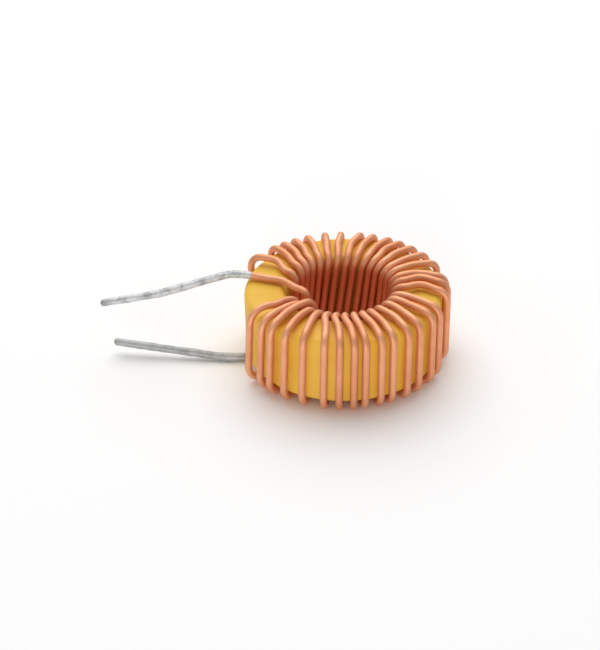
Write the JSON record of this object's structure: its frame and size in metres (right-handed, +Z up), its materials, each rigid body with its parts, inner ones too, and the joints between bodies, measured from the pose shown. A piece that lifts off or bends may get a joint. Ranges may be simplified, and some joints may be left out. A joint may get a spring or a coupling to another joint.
{
  "type": "toroidal inductor",
  "caption": "Coated iron-powder ring wound in one layer with enamelled copper wire, with two tinned wire leads, for filtering or storing energy in a circuit.",
  "frame": {"origin": "on the ring's axis, on the surface that the winding's bottom runs lie on", "axes": "+Z up along the ring's axis, -X the way the two leads point, +Y to the rear"},
  "size_m": [0.0424, 0.0259, 0.0111],
  "materials": {
    "core_coating": "satin yellow coating",
    "enamelled_copper": "clear enamel over copper, soft gloss",
    "solder": "dull dipped solder"
  },
  "bodies": {
    "root": {"core": "core_coating", "winding": "enamelled_copper", "upper_lead_tinning": "solder", "lower_lead_tinning": "solder"}
  },
  "joints": []
}
